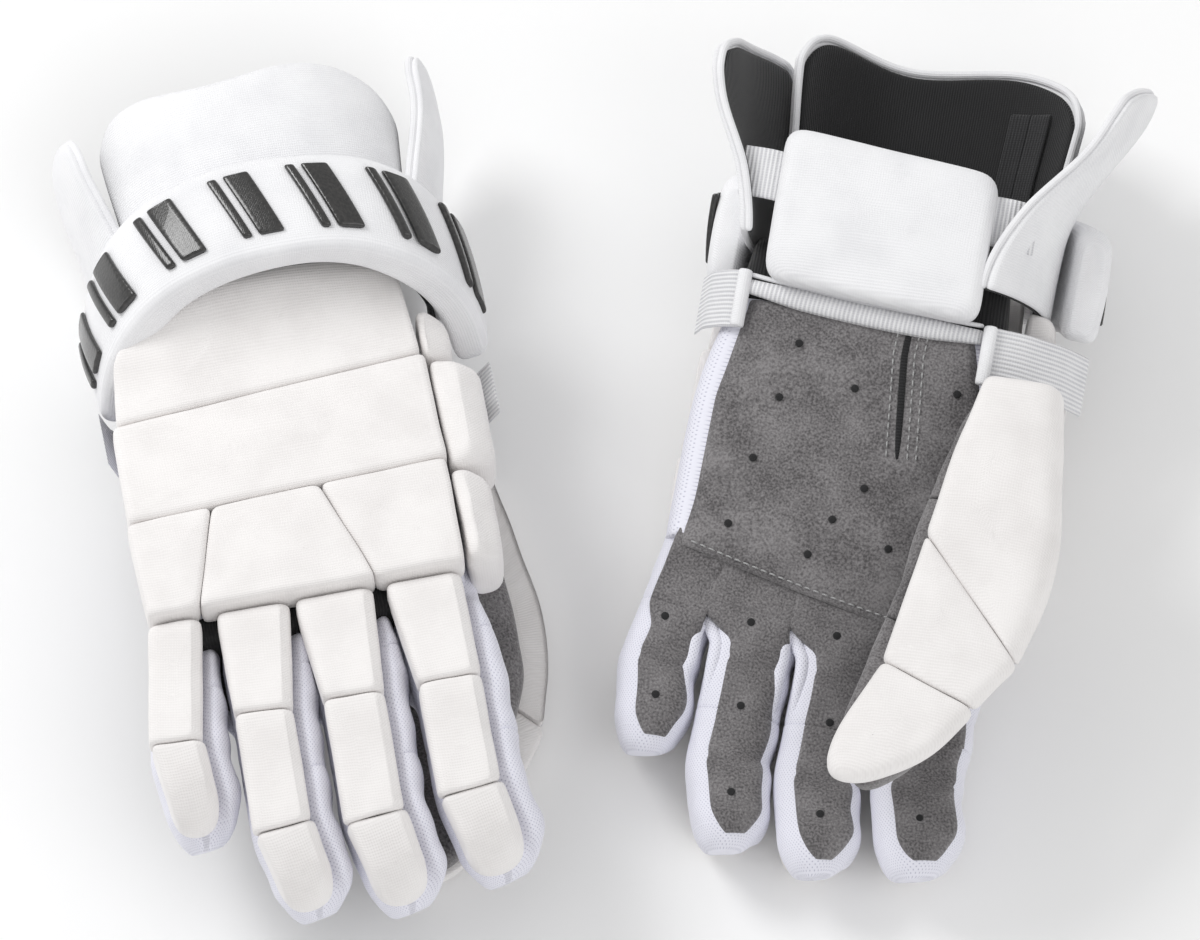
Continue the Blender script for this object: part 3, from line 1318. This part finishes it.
@dataclass
class Cuff:
    """The rolled cuff over the wrist with its flaps, straps, raised bars, elastic and wrist pad."""

    place: Place
    centre_x: float = 15.0
    half_width: float = 77.0
    crown: float = 85.0
    square: float = 2.6
    front_low: float = 99.0
    front_crown: float = 128.0
    band: float = 45.0
    thick: float = 14.0

    def arch(self, degrees: object, depth: object) -> tuple[np.ndarray, np.ndarray]:
        """X and z of the cuff's arch at an angle from the thumb side, at a depth inside its outer face."""
        a = np.radians(np.asarray(degrees, float))
        c, s = np.cos(a), np.sin(a)
        k = (np.abs(c) ** self.square + np.abs(s) ** self.square) ** (-1 / self.square)
        return self.centre_x + (self.half_width - depth) * c * k, (self.crown - depth) * s * k

    def front(self, degrees: object) -> np.ndarray:
        """Y of the roll's front edge."""
        rise = np.sin(np.radians(np.asarray(degrees, float)))
        return self.front_low + (self.front_crown - self.front_low) * rise

    def build_roll(self) -> None:
        """Build the padded roll."""
        angles = np.concatenate([[10.5, 11, 12.5, 15], np.arange(19, 162, 4), [165, 167.5, 169, 169.5]])
        section = rounded(
            np.array([(0, 0), (0, self.band), (self.thick, self.band), (self.thick, 0)], float), [5, 7, 7, 4],
            per_corner=5, per_edge=9,
        )
        rings, weave = [], []
        for a in angles:
            edge = min(a - 10.3, 169.7 - a) / 6
            share = math.sqrt(max(0.0, 1 - (1 - min(edge, 1)) ** 2)) * 0.75 + 0.25
            centre = np.array([self.thick / 2, self.band / 2])
            ring = centre + (section - centre) * np.array([share, 0.55 + 0.45 * share])
            belly = -1.4 * np.sin(np.clip(section[:, 1] / self.band, 0, 1) * math.pi) * (section[:, 0] < 3)
            x, z = self.arch(a, ring[:, 0] + belly)
            y = self.front(a) + ring[:, 1]
            rings.append(np.column_stack([x, y, z]))
            run = np.full(len(ring), math.radians(a) * 80)
            weave.append(np.column_stack([run, ring[:, 1], ring[:, 0]]))
        skin = loft(np.array(rings), np.array(weave))
        skin.points = roughened(skin.points, 0.8, 0.035, 60)
        thing = self.place.piece("cuff_roll", skin, "cuff", Slot.CUFF, ["cuff_roll"])
        self.place.ride(thing, "cuff")

    def build_bars(self) -> None:
        """Build the raised glossy bars on the roll: plain slanted stripes, broad and narrow by turns."""
        skins = []
        lean = 10.0
        for centre in (27, 50, 72, 94, 116, 138, 157):
            for offset, width in ((0.0, 10.5), (13.0, 4.0)):
                outline = np.array([(0, 8), (width, 8), (width + lean, 37), (lean, 37)], float)
                levels = ((-0.8, 0.0), (0.9, 0.0), (1.5, 0.35), (1.8, 1.0))
                rings, weave = [], []
                for lift, inset in levels:
                    flat = rounded(inset_corners(outline, [inset] * 4), [1.0] * 4, per_corner=3, per_edge=6)
                    angle = centre + np.degrees((flat[:, 0] + offset - 10) / 82)
                    belly = 1.4 * np.sin(flat[:, 1] / self.band * math.pi)
                    x, z = self.arch(angle, -lift - belly - 0.2)
                    rings.append(np.column_stack([x, self.front(angle) + flat[:, 1], z]))
                    weave.append(np.column_stack([flat, np.full(len(flat), lift)]))
                skins.append(loft(np.array(rings), np.array(weave)))
        thing = self.place.piece("cuff_bars", joined(skins), "gloss", Slot.GLOSS)
        self.place.ride(thing, "cuff")

    def flap(self, name: str, shape: "FlapShape", nodes: Sequence[str]) -> None:
        """Build one lined flap: its white outside, its black inside and the piping round its edge.

        Args:
            name: The flap's name.
            shape: Its place on the arch and its outline.
            nodes: CAD nodes that it stands for.
        """
        span, heights = shape.span, shape.heights
        rows, columns = 22, 34
        u = np.linspace(0, 1, columns)[None]
        v = np.linspace(0, 1, rows)[:, None]
        round_off = np.sqrt(np.clip(1 - np.clip((np.abs(u - 0.5) * 2 - 0.78) / 0.23, 0, 1) ** 2, 0, 1))
        knots = np.linspace(0, 1, len(heights))
        high = np.interp(u, knots, heights)
        for _ in range(6):
            high[:, 1:-1] = (high[:, :-2] + 2 * high[:, 1:-1] + high[:, 2:]) / 4
        start = shape.start
        reach = 12.0
        y = start + (high - reach * (1 - round_off) - start) * v
        angle = span[0] + (span[1] - span[0]) * u + 0 * v
        edge = shape.edge_share(u)
        at_edge = shape.lean[0] + (shape.lean[1] - shape.lean[0]) * smooth((y - 115) / 85)
        out = shape.flare * smooth((y - 160) / 50) * (1 - edge) + at_edge * edge - 0.6 * np.sin(u * math.pi * 3) * v
        out = out + shape.outside * smooth((y - 145) / 30)

        def sheet(depth_outer: float, depth_inner: float, shrink: float) -> Skin:
            middle = y.mean(axis=1, keepdims=True)
            yy = np.minimum(middle + (y - middle), y) - shrink * v
            aa = angle + (0.5 * (span[0] + span[1]) - angle) * shrink / 60
            grids = []
            for depth in (depth_outer, depth_inner):
                x, z = self.arch(aa, 15 + depth - out)
                grids.append(np.stack([x, yy + 0 * x, z], axis=-1))
            weave = np.stack([np.radians(aa) * 75, yy + 0 * aa, 0 * aa], axis=-1)
            return slab(grids[0], grids[1], weave)

        outer = self.place.piece(f"{name}_outside", sheet(-0.5, 3.0, 0.0), "cuff", Slot.CUFF, nodes)
        lining = self.place.piece(f"{name}_lining", sheet(2.6, 5.0, 2.0), "lining", Slot.LINING)
        edge_u = np.concatenate([np.zeros(rows), np.arange(columns), np.full(rows, columns - 1)]).astype(int)
        edge_v = np.concatenate([np.arange(rows), np.full(columns, rows - 1), np.arange(rows)[::-1]]).astype(int)
        x, z = self.arch(angle, 15 + 3.2 - out)
        path = np.stack([x, y + 0 * x, z], axis=-1)[edge_v, edge_u]
        keep = np.concatenate([[True], np.linalg.norm(np.diff(path, axis=0), axis=1) > 0.4])
        piping = self.place.piece(f"{name}_piping", tube(path[keep], 1.7, 8), "cuff", Slot.CUFF)
        for thing in (outer, lining, piping):
            self.place.ride(thing, "cuff")

    def build_flaps(self) -> None:
        """Build the flap on the back of the wrist and the two side flaps."""
        back = FlapShape((34, 146), (206, 215, 220, 219, 216, 214, 217, 221, 216), 132, 4)
        if self.place.side is Side.RIGHT:
            thumb = FlapShape((-8, 36), (180, 202, 220, 230, 226), 128, 12, (0, 3), 0, 5)
            little = FlapShape((144, 188), (214, 220, 218, 206, 184), 128, 12, (0, 3), 1, 5)
        else:
            thumb = FlapShape((-18, 38), (192, 202, 208, 210, 206), 114, 20, (-27, 10), 0, 5)
            little = FlapShape((138, 190), (205, 205, 203, 200, 192), 122, 9, (2, 22), 1, 4)
        self.flap("back_flap", back, ["cuff_back_flap"])
        self.flap("thumb_flap", thumb, ["cuff_side_flaps"])
        self.flap("little_flap", little, [])

    def build_webbing(self) -> None:
        """Build the black ribbed tape sewn inside the back flap."""
        y = np.linspace(140, 203, 24)
        for number, centre in enumerate((52.0, 60.0)):
            u = np.linspace(-1, 1, 7)[None]
            angle = centre + 4.2 * u + 0 * y[:, None]
            grids = []
            for depth in (20.4, 22.0):
                x, z = self.arch(angle, depth - 4 * smooth((y[:, None] - 160) / 50))
                grids.append(np.stack([x, y[:, None] + 0 * x, z], axis=-1))
            weave = np.stack([np.radians(angle) * 75, y[:, None] + 0 * angle, 0 * angle], axis=-1)
            thing = self.place.piece(f"flap_tape_{number + 1}", slab(grids[0], grids[1], weave), "black_tape", Slot.LINING)
            self.place.ride(thing, "cuff")

    def strap(self, name: str, ends: Sequence[tuple[float, float]], y_range: tuple[float, float], nodes: Sequence[str]) -> None:
        """Build one ribbed strap from the roll's end to the palm's edge, with the folded tab at its inner end.

        Args:
            name: The strap's name.
            ends: Corners of the strap's line in x and z, from the roll to the palm.
            y_range: Its two edges in y.
            nodes: CAD nodes that it stands for.
        """
        corners = np.array(ends, float)
        steps = np.concatenate([[0], np.cumsum(np.linalg.norm(np.diff(corners, axis=0), axis=1))])
        s = np.linspace(0, steps[-1], 26)
        x, z = np.interp(s, steps, corners[:, 0]), np.interp(s, steps, corners[:, 1])
        for _ in range(4):
            x[1:-1] = (x[:-2] + 2 * x[1:-1] + x[2:]) / 4
            z[1:-1] = (z[:-2] + 2 * z[1:-1] + z[2:]) / 4
        v = np.linspace(0, 1, 13)[None]
        y = y_range[0] + (y_range[1] - y_range[0]) * v + 0 * s[:, None]
        wave = 0.35 * np.sin(s[:, None] / 4) * np.sin(v * math.pi)
        grid = np.stack([x[:, None] + 0 * y, y, z[:, None] + wave - 0.9 + 0 * y], axis=-1)
        under = grid + np.array([0, 0, 1.8])
        weave = np.stack([y, s[:, None] + 0 * y, 0 * y], axis=-1)
        thing = self.place.piece(name, slab(grid, under, weave), "tape", Slot.WEBBING, nodes)
        self.place.bend(thing, ("hand", "cuff"), (x[-1], 97, z[-1]), (x[0], 97, z[0]))
        tab_x = np.sign(ends[-1][0]) * np.array([0, 2.8, 5.6])
        tab = np.stack([np.full((3, 13), ends[-1][0]) + tab_x[:, None], np.repeat(y[:1], 3, 0),
                        np.array([-1.6, -3.4, -2.4])[:, None] + ends[-1][1] + np.zeros((3, 13))], axis=-1)
        tab_skin = slab(tab, tab + np.array([0, 0, 2.2]), tab[..., [0, 1, 2]].copy())
        thing = self.place.piece(f"{name}_tab", tab_skin, "cuff", Slot.WEBBING)
        self.place.ride(thing, "hand")

    def build_straps(self) -> None:
        """Build the strap at each end of the roll."""
        self.strap("strap_little", [(-62, 22), (-58, 8), (-50, -1), (-42, -4)], (86, 109), ["cuff_straps"])
        self.strap("strap_thumb", [(90, 22), (82, 10), (66, -2), (49, -6)], (78, 101.5), [])

    def build_wrist_pad(self) -> None:
        """Build the plain wrist pad and the elastic that holds it."""
        outline = np.array([(-37, -165), (45, -158), (46, -100.5), (-37, -106)], float)[:, [0, 1]]
        block = Block(3.5, 16.5, [4.5] * 4, [9] * 4, crown=1.6, bulge=1.2)
        skin = block.skin(lambda z: outline)
        skin.points = roughened(skin.points, 0.6, 0.05, 70) * np.array([1, -1, -1])
        thing = self.place.piece("wrist_pad", skin, "cuff", Slot.CUFF, ["wrist_pad"])
        self.place.ride(thing, "wrist_guard")
        for name, x_range, nodes in (("elastic_little", (-53, -34), ["wrist_elastic"]), ("elastic_thumb", (42, 63), [])):
            x = np.linspace(*x_range, 16)[:, None]
            y = np.linspace(134, 154, 9)[None] - 0.05 * (x - 4)
            z = -9.5 + 0.5 * np.sin(x / 3.0) + 0 * y + 5 * smooth((np.abs(x - 4) - 48) / 30)
            grid = np.stack([x + 0 * y, y, z], axis=-1)
            weave = np.stack([x + 0 * y, y, 0 * z], axis=-1)
            thing = self.place.piece(name, slab(grid, grid + np.array([0, 0, 1.4]), weave), "tape", Slot.WEBBING, nodes)
            far, near = (x_range[0], x_range[1]) if x_range[0] < 0 else (x_range[1], x_range[0])
            self.place.bend(thing, ("cuff", "wrist_guard"), (far, 144, -9), (near, 144, -9))

    def build(self) -> None:
        """Build the whole cuff."""
        self.build_roll()
        self.build_bars()
        self.build_flaps()
        self.build_webbing()
        self.build_straps()
        self.build_wrist_pad()


# ---------------------------------------------------------------- glove and studio


@dataclass
class Glove:
    """One whole glove."""

    place: Place
    curls: tuple[float, ...]

    def fingers(self) -> list[Finger]:
        """The four fingers with their own sizes."""
        a, b, c = self.curls
        return [
            Finger(self.place, "index", 45.7, (41.5, 38, 35), (2.7, -3.3, 14), (29, 24, 24), (a, b, c), outer_bulge=11,
                   root_reach=(18, 15)),
            Finger(self.place, "middle", 11, (41.5, 42, 36), (0, -1.5, 14), (30, 23, 23), (a, b, c), root_reach=(16.2, 18)),
            Finger(self.place, "ring", -20, (41.5, 40, 34), (-4.9, 3.2, 14), (28, 22, 22), (a, b, c)),
            Finger(self.place, "little", -50, (46.5, 35), (-10, 15), (20, 20), (a, c), root_reach=(5, 16)),
        ]

    def build_folds(self, fingers: Sequence[Finger]) -> None:
        """Build the doubled mesh fold that rims the fork between each pair of fingers.

        Args:
            fingers: The four fingers, thumb side first.
        """
        for thumb_side, little_side in zip(fingers[:-1], fingers[1:], strict=True):
            fork = None
            for finger, sign in ((little_side, 1), (thumb_side, -1)):
                s = np.linspace(27, 72, 20)
                little, thumb = finger.half_widths(s)
                leg = smooth((s - 27) / 9)
                reach = thumb - 1.2 if sign > 0 else little - 0.6
                start = finger.root_reach[1 if sign > 0 else 0] + 1.0
                x = sign * (start * (1 - leg) + np.minimum(reach, start + 2) * leg)
                x -= sign * 2.6 * smooth((s - 27) / 4)
                z = finger.floor(s, np.clip(x, 2 - little, thumb - 2)) + 0.4 + 3.0 * smooth((s - 42) / 26)
                path = finger.path.point(s, x, z)
                fork = path[0] if fork is None else fork
                path[0] = fork + np.array([0, 2.2, 0])
                path[1] = path[1] * 0.6 + fork * 0.4 + np.array([sign * -1.0, 1.2, 0])
                radius = 2.9 * np.sqrt(np.clip((74 - s) / 30, 0.1, 1))
                name = f"fold_{little_side.name}_{thumb_side.name}_{'a' if sign > 0 else 'b'}"
                thing = self.place.piece(name, tube(path, radius, 12, flat=0.9), "netting", Slot.MESH)
                self.place.bend(thing, ("hand", finger.body(0)), finger.path.point(-11, 0, 0), finger.path.point(11, 0, 0))

    def build(self) -> None:
        """Build every sub-assembly of the glove."""
        back = Backhand(self.place)
        back.build_pads()
        back.build_rolls()
        Palm(self.place).build()
        fingers = self.fingers()
        for finger in fingers:
            finger.build()
        self.build_folds(fingers)
        Thumb(self.place).build()
        Cuff(self.place).build()


@dataclass
class Studio:
    """Camera, floor and soft lights."""

    aim: tuple[float, float, float] = (0.0023, 0.0095, 0.04)
    elevation: float = 66.0
    distance: float = 5.0
    seen_width: float = 0.4615
    floor_shade: tuple[float, float, float] = (0.94, 0.94, 0.94)

    def build_camera(self) -> None:
        """Place the camera at the viewing angle."""
        camera = bpy.data.cameras.new("camera")
        camera.lens = camera.sensor_width * self.distance / self.seen_width
        thing = bpy.data.objects.new("camera", camera)
        bpy.context.scene.collection.objects.link(thing)
        e = math.radians(self.elevation)
        back = Vector((0, -math.cos(e), math.sin(e)))
        thing.location = Vector(self.aim) + back * self.distance
        thing.rotation_euler = (-back).to_track_quat("-Z", "Y").to_euler()
        camera.clip_start, camera.clip_end = 0.05, 20
        bpy.context.scene.camera = thing

    def light(self, name: str, at: tuple[float, float, float], size: float, power: float) -> None:
        """Add a soft area light aimed at the gloves.

        Args:
            name: The light's name.
            at: Its place.
            size: Side of its square, in metres.
            power: Its power in watts.
        """
        data = bpy.data.lights.new(name, "AREA")
        data.size, data.energy = size, power
        thing = bpy.data.objects.new(name, data)
        bpy.context.scene.collection.objects.link(thing)
        thing.location = at
        thing.rotation_euler = (Vector(self.aim) - Vector(at)).to_track_quat("-Z", "Y").to_euler()

    def build_floor(self) -> None:
        """Lay the plain pale floor."""
        reach = 6.0
        mesh = bpy.data.meshes.new("floor")
        mesh.from_pydata([(-reach, -reach, 0), (reach, -reach, 0), (reach, reach, 0), (-reach, reach, 0)], [], [(0, 1, 2, 3)])
        floor = bpy.data.objects.new("floor", mesh)
        bpy.context.scene.collection.objects.link(floor)
        nodes = Nodes("pale_floor", roughness=0.9)
        nodes.paint(nodes.noise(2.0), self.floor_shade, tuple(c * 1.02 for c in self.floor_shade), (0.3, 0.7))
        mesh.materials.append(nodes.material)

    def build(self) -> None:
        """Build the camera, the lights and the floor."""
        self.build_camera()
        self.light("key", (-1.3, 0.9, 1.5), 0.9, 21)
        self.light("front", (1.2, -1.2, 1.6), 1.6, 9)
        world = bpy.data.worlds.new("studio")
        world.use_nodes = True
        world.node_tree.nodes["Background"].inputs[0].default_value = (1, 1, 1, 1)
        world.node_tree.nodes["Background"].inputs[1].default_value = 0.68
        bpy.context.scene.world = world
        bpy.context.scene.view_settings.view_transform = "Standard"
        self.build_floor()


def main() -> None:
    """Build the pair around the frame and note its sizes."""
    logging.basicConfig(level=logging.INFO)
    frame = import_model()
    Studio().build()
    wardrobe = Wardrobe()
    resting = {Side.RIGHT: (2, 10, 20), Side.LEFT: (1, 3, 5)}
    for side, curls in resting.items():
        Glove(Place.found(frame, side, wardrobe), curls).build()
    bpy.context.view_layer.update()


if __name__ == "__main__":
    main()
